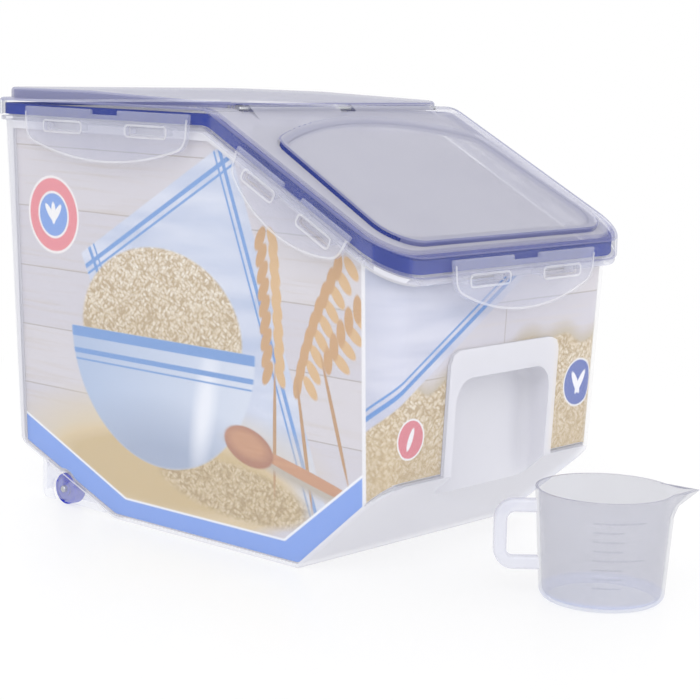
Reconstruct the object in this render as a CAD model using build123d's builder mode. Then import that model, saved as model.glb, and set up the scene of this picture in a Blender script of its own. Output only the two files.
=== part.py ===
from build123d import *
from math import atan2, cos, radians, sin, tan
import os

os.makedirs("parts", exist_ok=True)

# Rice bin with a flip lid: a drafted tub with a sloping front, a main lid held by side latches,
# a flip lid hinged on it over the slope, printed card, two wheels and a measuring cup.
# Millimetres. X across the bin, Y from front (-) to back (+), Z up from the floor it stands on.

# ---- lid and rim ----
lid_length = 330.0
lid_width = 212.0
lid_corner = 27.0
rim_height = 233.5  # lower edge of the lid's skirt over the floor, flat part
front_rim_height = 162.6  # the same at the front of the slope
kink_y = -27.0  # where the flat part turns into the slope
kink_radius = 16.0
lid_wall = 1.5
skirt_height = 9.8
lid_edge = 2.2  # rounding of the lids' upper outer edge

# ---- tub ----
tub_wall = 2.0
draft = 2.6  # degrees
lid_overhang = 3.8  # skirt's outer face to the tub's wall, at the rim
front_chamfer_height = 53.5
front_chamfer_run = 70.7  # from the front of the tub's rim back to the flat floor
rear_chamfer_height = 37.0
rear_chamfer_run = 101.2
floor_edge_radius = 9.0
side_edge_radius = 3.0
rim_inset = 5.6  # rim wall's outer face, in from the skirt's outer face
rim_wall = 2.2
rim_rise = 4.6  # top of the rim over the skirt's lower edge
collar_inset = 1.0
collar_top = -1.1
collar_thick = 2.2

# ---- front hand grip ----
grip_width = 82.0
grip_top = 106.0
grip_depth = 17.5
grip_corner = 13.0
grip_back_radius = 6.0

# ---- lid frame under the flip lid ----
frame_gap = 0.4  # between the frame and the flip lid over it
frame_wall = 1.2
bulkhead = 1.6

# ---- raised panel of the flip lid, on the slope ----
panel_rise = 3.0
panel_top_half = 87.0
panel_bottom_half = 94.0
panel_shoulder = 35.2  # down the slope to where the sides start
panel_arc_top = 12.7
panel_bottom = 140.7
panel_top_corner = 13.0
panel_bottom_corner = 22.0
panel_edge = 1.5
opening_margin = 10.5  # panel's outline to the edge of the opening under it

# ---- plateau on the flat part of the main lid ----
plateau_inset = 7.0
plateau_rise = 6.2
plateau_front_rise = 3.2  # at its front edge, by the hinge
plateau_crease_y = 75.0  # where its top starts to fall to the front
plateau_corner = 20.0
plateau_edge = 2.2

# ---- gaskets ----
gasket_gap = 0.3
gasket_lip = 1.8
gasket_low = 0.2  # over the skirt's lower edge
flip_gasket_width = 3.4
flip_gasket_height = 2.4
flip_seal_inset = 1.8
bead_height = 0.6
bead_width = 1.8
bead_margin = 0.8
groove_wall_thick = 1.2
seat_clearance = 0.2

# ---- lid hinge ----
hinge_rise = 10.4  # axis over the skirt's lower edge, square to the slope
hinge_barrel = 2.3
hinge_pin_radius = 1.1
hinge_half = 83.0
hinge_end_knuckle = 6.0
hinge_mid_knuckle = 12.0
hinge_fit = 0.05
hinge_seat = 0.02
knuckle_gap = 0.3
knuckle_relief = 5.4  # slope cut away in front of the middle knuckle
hump_length = 12.0
running_gap = 0.4
plateau_clearance = 0.3
split_ahead = 0.6  # rear cap's front edge, ahead of the hinge axis

# ---- latch flaps ----
flap_thick = 2.0
flap_gap = 0.3
flap_axis_height = 4.8  # over the skirt's lower edge
front_flap_axis_height = 7.7
flap_drop = 28.5
slope_flap_drop = 25.8
flap_taper = 1.5
flap_corner = 10.0
flap_notch_half = 11.5
flap_notch_depth = 1.8
slot_height = 5.2
slot_corner = 1.6
flap_rib_width = 1.2  # raised rib along a flap's outline and round its slots
flap_rib_height = 0.5
catch_place = 5.0  # middle of a catch below the skirt's lower edge
front_catch_place = 2.9
catch_height = 3.4
catch_gap = 0.4  # tip of a catch to the flap over it
catch_end_gap = 1.0
catch_reach = 12.0
rear_latch_length = 138.6
rear_latch_from_back = 114.5
rear_side_drop = 17.5
rear_slot_offset = 35.5
rear_slot_length = 32.0
slope_latch_length = 90.5
slope_latch_share = 0.49  # place of its middle along the slope, from the kink
slope_side_drop = 13.5
slope_slot_offset = 22.5
slope_slot_length = 24.0
front_latch_length = 123.0
front_side_drop = 15.0
front_slot_offset = 31.5
front_slot_length = 32.0
notch_margin = 3.0

# ---- wheels ----
wheel_radius = 9.5
wheel_width = 8.6
wheel_from_back = 55.2  # from the back of the tub's rim
wheel_lift = 0.5
axle_radius = 2.0
axle_fit = 0.06
axle_seat = 0.03
axle_chamfer = 0.4
wheel_hub_radius = 4.2
wheel_tread = 1.8
wheel_dish = 0.9
wheel_edge = 1.2
cheek = 1.6
cheek_gap = 0.5
cheek_step = 0.6  # cheek's outer face, in from the tub's wall
cheek_boss = 6.4
cheek_window = 10.4  # outer radius of the slot round the boss, where the wheel's rim shows
window_rise = 5.0
window_lead = 2.0
housing_behind_wheel = 18.4
housing_floor = 2.6
housing_corner = 4.5
well_gap = 1.0

# ---- printed card inside the tub ----
card_thick = 0.5
card_gap = 0.3
card_margin = 3.2
card_top = -8.0
card_from_back = 21.2
card_cut_width = 95.0
card_cut_top = 121.5
card_cut_corner = 9.0
card_cut_depth = 65.0

# ---- measuring cup ----
cup_x = -15.4
cup_ahead_of_bin = 68.7
cup_turn = -46.5  # degrees, the way the spout points
cup_height = 57.6
cup_rim_radius = 35.9
cup_base_radius = 32.0
cup_wall = 1.6
cup_foot_radius = 5.0
spout_reach = 48.2
spout_depth = 17.0
spout_half_width = 17.0
spout_mid_half = 9.0
spout_root_half = 3.0
spout_belly = 2.0
spout_tip_share = 2.2
spout_tip_half = 0.4
spout_root_sink = 1.5
spout_start = 24.5
spout_square = 29.5
handle_reach = 56.6
handle_width = 7.0
handle_low = 15.0
handle_high = 51.5
handle_thick = 6.6
handle_bend = 10.5
handle_edge = 1.5

# ---- worked-out places ----
half_length = lid_length / 2
half_width = lid_width / 2
slope = atan2(rim_height - front_rim_height, half_length + kink_y)
down_y = -cos(slope)
down_z = -sin(slope)
out_y = -sin(slope)
out_z = cos(slope)
slope_length = (half_length + kink_y) / cos(slope)
slope_latch_place = slope_latch_share * slope_length
overall_height = rim_height + skirt_height + plateau_rise
reach = lid_length + lid_width  # longer than anything that is cut or trimmed
past = 1.0  # how far a cut runs past the face it leaves by
draft_rate = tan(radians(draft))
tub_width = lid_width - 2 * lid_overhang
tub_length = lid_length - 2 * lid_overhang
tub_corner = lid_corner - lid_overhang
hinge_y = kink_y + out_y * hinge_rise
hinge_z = rim_height + out_z * hinge_rise
split_y = hinge_y - split_ahead
plateau_front_y = hinge_y + hinge_barrel + running_gap + plateau_clearance
frame_top = skirt_height - lid_wall - frame_gap
front_floor_y = front_chamfer_run - tub_length / 2
rear_floor_y = tub_length / 2 - rear_chamfer_run
wheel_y = tub_length / 2 - wheel_from_back
wheel_z = wheel_radius + wheel_lift
cheek_outer_x = tub_width / 2 - (rim_height - wheel_z) * draft_rate - cheek_step
housing_back_y = wheel_y + housing_behind_wheel
rear_latch_y = half_length - rear_latch_from_back
cup_y = -half_length - cup_ahead_of_bin
collar_low = collar_top - collar_thick
slope_plane = Plane(origin=(0, kink_y, rim_height), x_dir=(1, 0, 0), z_dir=(0, out_y, out_z))


def rim_line(height, end_reach):
    """Corner points of the rim's side view, that far over the skirt's lower edge."""
    corner = (kink_y - height * tan(slope / 2), rim_height + height)
    back = (end_reach, rim_height + height)
    front = (corner[0] + down_y * end_reach, corner[1] + down_z * end_reach)
    return back, corner, front


def rim_layer(inset, low, high):
    """Plate that follows the rim round the kink, between two heights over the skirt's edge."""
    with BuildPart() as layer:
        with BuildSketch(Plane.YZ):
            with BuildLine():
                lower = FilletPolyline(*rim_line(low, reach), radius=kink_radius + low)
                upper = FilletPolyline(*rim_line(high, reach), radius=kink_radius + high)
                Line(lower @ 0, upper @ 0)
                Line(lower @ 1, upper @ 1)
            make_face()
        extrude(amount=lid_width, both=True)
        with BuildSketch(Plane.XY):
            RectangleRounded(lid_width - 2 * inset, lid_length - 2 * inset, lid_corner - inset)
        extrude(amount=2 * overall_height, mode=Mode.INTERSECT)
    return layer.part


def tub_column(inset):
    """Drafted upright column with the tub's plan, drawn in by the inset."""
    with BuildPart() as column:
        with BuildSketch(Plane(origin=(0, 0, rim_height), z_dir=(0, 0, -1))):
            RectangleRounded(tub_width - 2 * inset, tub_length - 2 * inset, tub_corner - inset)
        extrude(amount=rim_height, taper=draft)
    return column.part


def wall_y(height):
    """Distance of the front and back walls from the middle, at a height."""
    return tub_length / 2 - (rim_height - height) * draft_rate


def side_profile(inset, top, corner):
    """Side view of the tub from floor to rim, drawn in by the inset."""
    front_slant = atan2(front_chamfer_height, wall_y(front_chamfer_height) + front_floor_y)
    rear_slant = atan2(rear_chamfer_height, wall_y(rear_chamfer_height) - rear_floor_y)
    floor_front = front_floor_y + inset * tan(front_slant / 2)
    floor_rear = rear_floor_y - inset * tan(rear_slant / 2)
    end = half_length + lid_overhang
    crest = rim_line(top, reach)[1]
    with BuildSketch() as profile:
        with BuildLine():
            floor = FilletPolyline(
                (-end, inset + (floor_front + end) * tan(front_slant)),
                (floor_front, inset),
                (floor_rear, inset),
                (end, inset + (end - floor_rear) * tan(rear_slant)),
                radius=corner,
            )
            rim = FilletPolyline(
                (end, crest[1]),
                crest,
                (-end, crest[1] - (crest[0] + end) * tan(slope)),
                radius=kink_radius + top,
            )
            Line(floor @ 1, rim @ 0)
            Line(rim @ 1, floor @ 0)
        make_face()
    return profile.sketch


def is_low_rim(edge):
    """True for the edges where the walls meet the floor and its two chamfers."""
    middle = edge @ 0.5
    at_side = abs(middle.X) > tub_width / 2 - tub_corner
    at_end = abs(middle.Y) > tub_length / 2 - tub_corner
    return (at_side or at_end) and middle.Z < front_chamfer_height + tub_wall


def tub_form(inset, top, corner):
    """The tub's whole outer form, or its hollow, up to a height over the skirt's edge."""
    with BuildPart() as form:
        add(tub_column(inset))
        with BuildSketch(Plane.YZ):
            add(side_profile(inset, top, corner))
        extrude(amount=lid_width, both=True, mode=Mode.INTERSECT)
        fillet(form.edges().filter_by(is_low_rim), radius=side_edge_radius - inset)
    return form.part


# ---- tub: drafted shell with a collar, catches, a hand grip and wheel housings ----
def grip_pocket(margin):
    """Hand recess in the front wall, open below through the front chamfer."""
    depth = half_length - wall_y(grip_top) + grip_depth + margin
    with BuildPart() as pocket:
        with BuildSketch(Plane.XZ.offset(half_length)) as mouth:
            with Locations((0, grip_top + margin)):
                Rectangle(
                    grip_width + 2 * margin, 2 * grip_top, align=(Align.CENTER, Align.MAX)
                )
            fillet(mouth.vertices().group_by(Axis.Y)[-1], radius=grip_corner + margin)
        extrude(amount=-depth)
        fillet(pocket.faces().sort_by(Axis.Y)[-1].edges(), radius=grip_back_radius + margin)
    return pocket.part


def wheel_span(margin):
    """Nearer and farther X of a wheel's space between its cheeks."""
    outer = cheek_outer_x - cheek + margin
    return outer - wheel_width - 2 * cheek_gap - 2 * margin, outer


def wheel_well(side, margin):
    """Round space over a wheel, cut into the tub's rear chamfer."""
    near, far = wheel_span(margin)
    with BuildPart() as well:
        with BuildSketch(Plane.YZ.offset(side * near)):
            with Locations((wheel_y, wheel_z)):
                Circle(wheel_radius + well_gap + margin)
        extrude(amount=side * (far - near))
    return well.part


def rear_chamfer_z(y):
    """Height of the tub's rear chamfer."""
    return (y - rear_floor_y) * rear_chamfer_height / (wall_y(rear_chamfer_height) - rear_floor_y)


def wheel_housing(side):
    """Two cheeks and a back wall that carry one wheel under the rear chamfer."""
    near, far = wheel_span(0)
    rise_rate = rear_chamfer_z(rear_floor_y + 1)
    front_y = rear_floor_y + housing_floor / rise_rate
    sink = tub_wall / 2
    with BuildSketch() as window:
        Circle(cheek_window)
        Circle(cheek_boss, mode=Mode.SUBTRACT)
        with Locations((-window_lead, window_rise)):
            Rectangle(reach, reach, align=(Align.MIN, Align.MAX), mode=Mode.INTERSECT)
    with BuildPart() as housing:
        for x in (near - cheek, far):
            with BuildSketch(Plane.YZ.offset(side * x)) as face:
                Polygon(
                    (front_y, housing_floor),
                    (housing_back_y, housing_floor),
                    (housing_back_y, rear_chamfer_z(housing_back_y) + sink),
                    (front_y, housing_floor + sink),
                    align=None,
                )
                lowest = face.vertices().group_by(Axis.Y)[0]
                fillet(lowest.sort_by(Axis.X)[-1], radius=housing_corner)
                with Locations((wheel_y, wheel_z)):
                    add(window.sketch, mode=Mode.SUBTRACT)
            extrude(amount=side * cheek)
        with BuildSketch(Plane.YZ.offset(side * near)):
            Polygon(
                (housing_back_y - cheek, housing_floor + housing_corner),
                (housing_back_y, housing_floor + housing_corner),
                (housing_back_y, rear_chamfer_z(housing_back_y) + sink),
                (housing_back_y - cheek, rear_chamfer_z(housing_back_y - cheek) + sink),
                align=None,
            )
        extrude(amount=side * (far - near))
    return housing.part


def latch_catches(face, catch_drop, slot_offset, slot_length):
    """Pair of ribs behind a latch flap's slots, from the tub's wall outward."""
    with BuildPart() as catches:
        with BuildSketch(face.offset(-flap_thick / 2 - catch_gap)):
            with Locations((-slot_offset, -catch_drop), (slot_offset, -catch_drop)):
                Rectangle(slot_length - 2 * catch_end_gap, catch_height)
        extrude(amount=-catch_reach)
    return catches.part


# each latch: place of its axis, direction along the axis, way it faces; length, drop in the
# middle and at the sides, depth of the catches below the axis, place and length of the slots
flap_x = half_width + flap_gap + flap_thick / 2
flap_y = half_length + flap_gap + flap_thick / 2
flat_axis_z = rim_height + flap_axis_height
front_axis_z = front_rim_height + front_flap_axis_height
slope_axis_y = kink_y + down_y * slope_latch_place + out_y * flap_axis_height
slope_axis_z = rim_height + down_z * slope_latch_place + out_z * flap_axis_height
catch_drop = flap_axis_height + catch_place
front_catch_drop = front_flap_axis_height + front_catch_place
rear_sizes = (
    rear_latch_length, flap_drop, rear_side_drop, catch_drop, rear_slot_offset, rear_slot_length,
)
slope_sizes = (
    slope_latch_length, slope_flap_drop, slope_side_drop, catch_drop,
    slope_slot_offset, slope_slot_length,
)
front_slots = (front_slot_offset, front_slot_length)
front_sizes = (front_latch_length, flap_drop, front_side_drop, front_catch_drop, *front_slots)
back_sizes = (front_latch_length, flap_drop, front_side_drop, catch_drop, *front_slots)
latches = {
    "rear_left_latch": (
        Plane((-flap_x, rear_latch_y, flat_axis_z), (0, -1, 0), (-1, 0, 0)), *rear_sizes,
    ),
    "rear_right_latch": (
        Plane((flap_x, rear_latch_y, flat_axis_z), (0, 1, 0), (1, 0, 0)), *rear_sizes,
    ),
    "back_latch": (
        Plane((0, flap_y, flat_axis_z), (-1, 0, 0), (0, 1, 0)), *back_sizes,
    ),
    "flip_left_latch": (
        Plane((-flap_x, slope_axis_y, slope_axis_z), (0, down_y, down_z), (-1, 0, 0)), *slope_sizes,
    ),
    "flip_right_latch": (
        Plane((flap_x, slope_axis_y, slope_axis_z), (0, -down_y, -down_z), (1, 0, 0)), *slope_sizes,
    ),
    "flip_front_latch": (
        Plane((0, -flap_y, front_axis_z), (1, 0, 0), (0, -1, 0)), *front_sizes,
    ),
}

with BuildPart() as hollow:
    add(tub_form(tub_wall, collar_low, floor_edge_radius - tub_wall))
    add(rim_layer(rim_inset + rim_wall, collar_low - past, skirt_height))
    add(grip_pocket(tub_wall), mode=Mode.SUBTRACT)
    for side in (-1, 1):
        add(wheel_well(side, tub_wall), mode=Mode.SUBTRACT)

with BuildPart() as tub:
    add(tub_form(0, collar_top, floor_edge_radius))
    add(rim_layer(collar_inset, collar_low, collar_top))
    add(rim_layer(rim_inset, collar_low, rim_rise))
    for face, _, _, _, catch_depth, slot_offset, slot_length in latches.values():
        add(latch_catches(face, catch_depth, slot_offset, slot_length))
    for side in (-1, 1):
        add(wheel_housing(side))
        add(wheel_well(side, 0), mode=Mode.SUBTRACT)
        with BuildSketch(Plane.YZ.offset(side * cheek_outer_x)):
            with Locations((wheel_y, wheel_z)):
                Circle(axle_radius + axle_seat)
        extrude(amount=-side * (wheel_width + 2 * cheek_gap + 2 * cheek), mode=Mode.SUBTRACT)
    add(grip_pocket(0), mode=Mode.SUBTRACT)
    add(hollow.part, mode=Mode.SUBTRACT)
tub.part.label = "tub"
export_step(tub.part, "parts/tub.step")


# ---- printed card: both sides and the front in one bent sheet, against the tub's walls ----
with BuildPart() as printed_card:
    add(tub_column(tub_wall + card_gap))
    add(tub_column(tub_wall + card_gap + card_thick), mode=Mode.SUBTRACT)
    with BuildSketch(Plane.YZ):
        add(side_profile(card_margin, card_top, floor_edge_radius - card_margin))
    extrude(amount=lid_width, both=True, mode=Mode.INTERSECT)
    with BuildSketch(Plane.XZ.offset(card_from_back - tub_length / 2)):
        Rectangle(reach, 2 * reach)
    extrude(amount=-lid_length, mode=Mode.SUBTRACT)
    with BuildSketch(Plane.XZ.offset(half_length)) as cut:
        with Locations((0, card_cut_top)):
            Rectangle(card_cut_width, 2 * card_cut_top, align=(Align.CENTER, Align.MAX))
        fillet(cut.vertices().group_by(Axis.Y)[-1], radius=card_cut_corner)
    extrude(amount=-card_cut_depth, mode=Mode.SUBTRACT)
    for side in (-1, 1):
        add(wheel_well(side, tub_wall + card_gap), mode=Mode.SUBTRACT)
printed_card.part.label = "printed_card"
export_step(printed_card.part, "parts/printed_card.step")


# ---- wheels and their axles ----
for side, name in ((-1, "left"), (1, "right")):
    far = wheel_span(0)[1] - cheek_gap
    near = far - wheel_width
    centre = (0, wheel_y, wheel_z)
    with BuildPart() as wheel:
        with BuildSketch(Plane(origin=centre, x_dir=(side, 0, 0), z_dir=(0, -side, 0))) as half:
            Polygon(
                (near, axle_radius + axle_fit),
                (far, axle_radius + axle_fit),
                (far, wheel_hub_radius),
                (far - wheel_dish, wheel_hub_radius),
                (far - wheel_dish, wheel_radius - wheel_tread),
                (far, wheel_radius - wheel_tread),
                (far, wheel_radius),
                (near, wheel_radius),
                (near, wheel_radius - wheel_tread),
                (near + wheel_dish, wheel_radius - wheel_tread),
                (near + wheel_dish, wheel_hub_radius),
                (near, wheel_hub_radius),
                align=None,
            )
            fillet(half.vertices().group_by(Axis.Y)[-1], radius=wheel_edge)
        revolve(axis=Axis(centre, (1, 0, 0)))
    wheel.part.label = f"wheel_{name}"
    export_step(wheel.part, f"parts/wheel_{name}.step")

    with BuildPart() as axle:
        with BuildSketch(Plane.YZ.offset(side * cheek_outer_x)):
            with Locations((wheel_y, wheel_z)):
                Circle(axle_radius)
        extrude(amount=-side * (wheel_width + 2 * cheek_gap + 2 * cheek))
        chamfer(axle.edges(), length=axle_chamfer)
    axle.part.label = f"wheel_axle_{name}"
    export_step(axle.part, f"parts/wheel_axle_{name}.step")


# ---- panel outline, on the slope ----
def panel_block(inset, low, high):
    """Prism over the flip lid's panel outline, drawn in by the inset, square to the slope."""
    with BuildPart() as block:
        with BuildSketch(slope_plane.offset(low)) as outline:
            with BuildLine():
                crown = ThreePointArc(
                    (-panel_top_half, -panel_shoulder),
                    (0, -panel_arc_top),
                    (panel_top_half, -panel_shoulder),
                )
                Polyline(
                    crown @ 1,
                    (panel_bottom_half, -panel_bottom),
                    (-panel_bottom_half, -panel_bottom),
                    crown @ 0,
                )
            make_face()
            fillet(outline.vertices().group_by(Axis.Y)[-1], radius=panel_top_corner)
            fillet(outline.vertices().group_by(Axis.Y)[0], radius=panel_bottom_corner)
            if inset:
                offset(amount=-inset, mode=Mode.REPLACE)
        extrude(amount=high - low)
    return block.part


def keep_between(low_y, high_y):
    """Wide block between two Y places, to trim a lid piece with."""
    with BuildPart() as block:
        with BuildSketch(Plane.XZ.offset(-low_y)):
            Rectangle(reach, 2 * reach)
        extrude(amount=-(high_y - low_y))
    return block.part


def hinge_rod(radius, low_x, high_x):
    """Round bar on the flip lid's axis."""
    with BuildPart() as rod:
        with BuildSketch(Plane.YZ.offset(low_x)):
            with Locations((hinge_y, hinge_z)):
                Circle(radius)
        extrude(amount=high_x - low_x)
    return rod.part


def on_slope(down, out):
    """Point in the side view, from the kink down the slope and square out of it."""
    return kink_y + down * down_y + out * out_y, rim_height + down * down_z + out * out_z


def height_over_skirt(point):
    """Height of a point over the lower edge of the lids' skirt, on the flat or on the slope."""
    flat = point.Z - rim_height
    return min(flat, (point.Y - kink_y) * out_y + flat * out_z) if point.Y < kink_y else flat


mid_knuckle_x = hinge_mid_knuckle / 2
end_knuckle_x = hinge_half - hinge_end_knuckle
knuckles = (
    (-hinge_half, -end_knuckle_x),
    (-mid_knuckle_x, mid_knuckle_x),
    (end_knuckle_x, hinge_half),
)
plate_low = skirt_height - lid_wall
frame_low = frame_top - frame_wall
frame_inset = lid_wall + frame_gap
frame_back_y = plateau_front_y + bulkhead
flip_back_y = split_y - running_gap

def lid_shell(low_y, high_y, wall, ceiling):
    """Cap with the lids' rounded outer form between two Y places, hollow below a ceiling."""
    with BuildPart() as shell:
        add(rim_layer(0, 0, skirt_height))
        fillet(shell.edges().filter_by(on_lid_top), radius=lid_edge)
        add(rim_layer(wall, -past, ceiling), mode=Mode.SUBTRACT)
        add(keep_between(low_y, high_y), mode=Mode.INTERSECT)
    return shell.part


def on_lid_top(edge):
    """True for the edges round the outer face at the top of the lids' skirt."""
    middle = edge @ 0.5
    return height_over_skirt(middle) > skirt_height / 2


# ---- main lid: rear cap with a plateau, and the frame under the flip lid ----
with BuildPart() as frame:
    add(rim_layer(frame_inset, 0, frame_top))
    add(rim_layer(frame_inset + frame_wall, -past, frame_low), mode=Mode.SUBTRACT)
    add(keep_between(-half_length, frame_back_y), mode=Mode.INTERSECT)

def plateau_block(inset, front_inset, low, sink):
    """Plateau's form from a height up to its own top less the sink, drawn in by the insets."""
    top = overall_height - sink
    front_top = rim_height + skirt_height + plateau_front_rise - sink
    front_y = plateau_front_y + front_inset
    depth = half_length - plateau_inset - inset - front_y
    with BuildPart() as block:
        with BuildSketch(Plane.YZ):
            Polygon(
                (plateau_front_y, low),
                (half_length, low),
                (half_length, top),
                (plateau_crease_y, top),
                (plateau_front_y, front_top),
                align=None,
            )
        extrude(amount=half_width, both=True)
        with BuildSketch(Plane.XY):
            with Locations((0, front_y + depth / 2)):
                width = lid_width - 2 * plateau_inset - 2 * inset
                RectangleRounded(width, depth, plateau_corner - inset)
        extrude(amount=overall_height, mode=Mode.INTERSECT)
    return block.part


def on_plateau_edge(edge):
    """True for the edges round the plateau's top, but for the crease across it."""
    middle = edge @ 0.5
    on_crease = abs(middle.X) < past and abs(middle.Y - plateau_crease_y) < past
    front_top = rim_height + skirt_height + plateau_front_rise
    return middle.Z > front_top - past / 2 and not on_crease


with BuildPart() as main_lid:
    add(plateau_block(0, 0, rim_height + plate_low, 0))
    fillet(main_lid.edges().filter_by(on_plateau_edge), radius=plateau_edge)
    add(lid_shell(split_y, half_length, lid_wall, plate_low))
    add(lid_shell(split_y, frame_back_y, frame_inset + frame_wall, frame_low))
    add(frame.part)
    front_walls = lid_wall + bulkhead
    add(
        plateau_block(lid_wall, front_walls, rim_height + frame_low, lid_wall),
        mode=Mode.SUBTRACT,
    )
    add(panel_block(opening_margin, 0, skirt_height), mode=Mode.SUBTRACT)
    relief_half = hinge_half + knuckle_gap
    add(hinge_rod(hinge_barrel + running_gap, -relief_half, relief_half), mode=Mode.SUBTRACT)
    with BuildSketch(Plane.YZ.offset(-relief_half)):
        Polygon(
            on_slope(-running_gap, frame_top),
            on_slope(-running_gap, hinge_rise),
            on_slope(knuckle_relief, hinge_rise),
            on_slope(knuckle_relief, frame_top),
            align=None,
        )
    extrude(amount=2 * relief_half, mode=Mode.SUBTRACT)
    for low_x, high_x in knuckles:
        add(hinge_rod(hinge_barrel, low_x, high_x))
        with BuildSketch(Plane.YZ.offset(low_x)):
            with Locations((hinge_y, hinge_z)):
                Rectangle(
                    plateau_front_y - hinge_y + lid_wall / 2,
                    2 * hinge_barrel,
                    align=(Align.MIN, Align.CENTER),
                )
        extrude(amount=high_x - low_x)
    add(hinge_rod(hinge_pin_radius + hinge_seat, -hinge_half, hinge_half), mode=Mode.SUBTRACT)
    bead_low = flip_seal_inset + bead_margin
    with BuildPart(mode=Mode.PRIVATE) as bead:
        add(panel_block(bead_low, frame_top - lid_wall / 2, frame_top + bead_height))
        add(panel_block(bead_low + bead_width, 0, skirt_height), mode=Mode.SUBTRACT)
    add(bead.part)
main_lid.part.label = "main_lid"
export_step(main_lid.part, "parts/main_lid.step")


# ---- main gasket: silicone ring over the tub's rim, inside the skirt ----
with BuildPart() as main_gasket:
    outer_inset = frame_inset + frame_wall + gasket_gap
    gasket_top = frame_low - seat_clearance
    add(rim_layer(outer_inset, gasket_low, gasket_top))
    add(rim_layer(outer_inset + gasket_lip, -past, rim_rise + seat_clearance), mode=Mode.SUBTRACT)
    add(rim_layer(rim_inset + rim_wall + gasket_gap, -past, skirt_height), mode=Mode.SUBTRACT)
main_gasket.part.label = "main_gasket"
export_step(main_gasket.part, "parts/main_gasket.step")


# ---- hinge pin ----
with BuildPart() as hinge_pin:
    add(hinge_rod(hinge_pin_radius, -hinge_half, hinge_half))
    chamfer(hinge_pin.edges(), length=axle_chamfer)
hinge_pin.part.label = "hinge_pin"
export_step(hinge_pin.part, "parts/hinge_pin.step")


# ---- flip lid: cap over the slope with a raised panel, hung from the hinge ----
panel_top = skirt_height + panel_rise
with BuildPart() as panel:
    add(panel_block(0, plate_low, panel_top))
    fillet(panel.faces().sort_by(Axis.Z)[-1].edges(), radius=panel_edge)

with BuildPart() as hump:
    with BuildSketch(Plane.YZ.offset(-end_knuckle_x + knuckle_gap)):
        Polygon(
            on_slope(0, hinge_rise + hinge_barrel),
            on_slope(hump_length, skirt_height),
            on_slope(hump_length, plate_low),
            on_slope(0, plate_low),
            align=None,
        )
    extrude(amount=2 * end_knuckle_x - 2 * knuckle_gap)
    add(hinge_rod(hinge_barrel, -end_knuckle_x + knuckle_gap, end_knuckle_x - knuckle_gap))

with BuildPart() as flip_lid:
    add(lid_shell(-half_length, flip_back_y, lid_wall, plate_low))
    add(hump.part)
    add(panel.part)
    add(panel_block(lid_wall, plate_low - past, panel_top - lid_wall), mode=Mode.SUBTRACT)
    groove = flip_seal_inset + flip_gasket_width + seat_clearance
    with BuildPart(mode=Mode.PRIVATE) as groove_wall:
        add(panel_block(groove, frame_top + bead_height + seat_clearance, panel_top - lid_wall / 2))
        add(panel_block(groove + groove_wall_thick, 0, panel_top), mode=Mode.SUBTRACT)
    add(groove_wall.part)
    for low_x, high_x in knuckles:
        relief = hinge_rod(hinge_barrel + running_gap, low_x - knuckle_gap, high_x + knuckle_gap)
        add(relief, mode=Mode.SUBTRACT)
    with BuildSketch(Plane.YZ.offset(-mid_knuckle_x - knuckle_gap)):
        Polygon(
            on_slope(-hump_length, plate_low),
            on_slope(-hump_length, panel_top + hinge_barrel),
            on_slope(knuckle_relief, panel_top + hinge_barrel),
            on_slope(knuckle_relief, plate_low),
            align=None,
        )
    extrude(amount=hinge_mid_knuckle + 2 * knuckle_gap, mode=Mode.SUBTRACT)
    add(hinge_rod(hinge_pin_radius + hinge_fit, -hinge_half, hinge_half), mode=Mode.SUBTRACT)
flip_lid.part.label = "flip_lid"
export_step(flip_lid.part, "parts/flip_lid.step")


# ---- flip gasket: silicone ring under the raised panel ----
with BuildPart() as flip_gasket:
    low = frame_top + bead_height + seat_clearance
    add(panel_block(flip_seal_inset, low, low + flip_gasket_height))
    add(panel_block(flip_seal_inset + flip_gasket_width, 0, panel_top), mode=Mode.SUBTRACT)
flip_gasket.part.label = "flip_gasket"
export_step(flip_gasket.part, "parts/flip_gasket.step")


# ---- latch flaps: D-shaped leaves that turn on the lids' edges ----
for name, (face, length, drop, side_drop, slot_drop, slot_offset, slot_length) in latches.items():
    end = length / 2
    notch_half = min(flap_notch_half, slot_offset - slot_length / 2 - notch_margin)
    with BuildPart() as flap:
        with BuildSketch(face.offset(-flap_thick / 2)) as leaf:
            left_corner = (flap_taper - end, -side_drop)
            right_corner = (end - flap_taper, -side_drop)
            with BuildLine():
                Polyline(left_corner, (-end, 0), (end, 0), right_corner)
                ThreePointArc(left_corner, (0, -drop), right_corner)
            make_face()
            fillet(leaf.vertices().group_by(Axis.Y)[0], radius=flap_corner)
            with Locations((-slot_offset, -slot_drop), (slot_offset, -slot_drop)):
                RectangleRounded(slot_length, slot_height, slot_corner, mode=Mode.SUBTRACT)
        extrude(amount=flap_thick)
        with BuildSketch(face.offset(flap_thick / 2)):
            add(leaf.sketch_local)
            with BuildSketch(Plane.XY, mode=Mode.PRIVATE) as inner:
                add(leaf.sketch_local)
                offset(amount=-flap_rib_width, mode=Mode.REPLACE)
            add(inner.sketch_local, mode=Mode.SUBTRACT)
            Rectangle(length, 2 * flap_thick, mode=Mode.SUBTRACT)
        extrude(amount=flap_rib_height)
        edge_start = face.origin - face.x_dir * end
        with BuildSketch(Plane(origin=edge_start, x_dir=face.z_dir, z_dir=face.x_dir)):
            Circle(flap_thick / 2)
        extrude(amount=length)
        with BuildSketch(face.offset(-flap_thick)):
            Rectangle(2 * notch_half, 2 * flap_notch_depth)
        extrude(amount=2 * flap_thick, mode=Mode.SUBTRACT)
    flap.part.label = name
    export_step(flap.part, f"parts/{name}.step")


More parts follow.
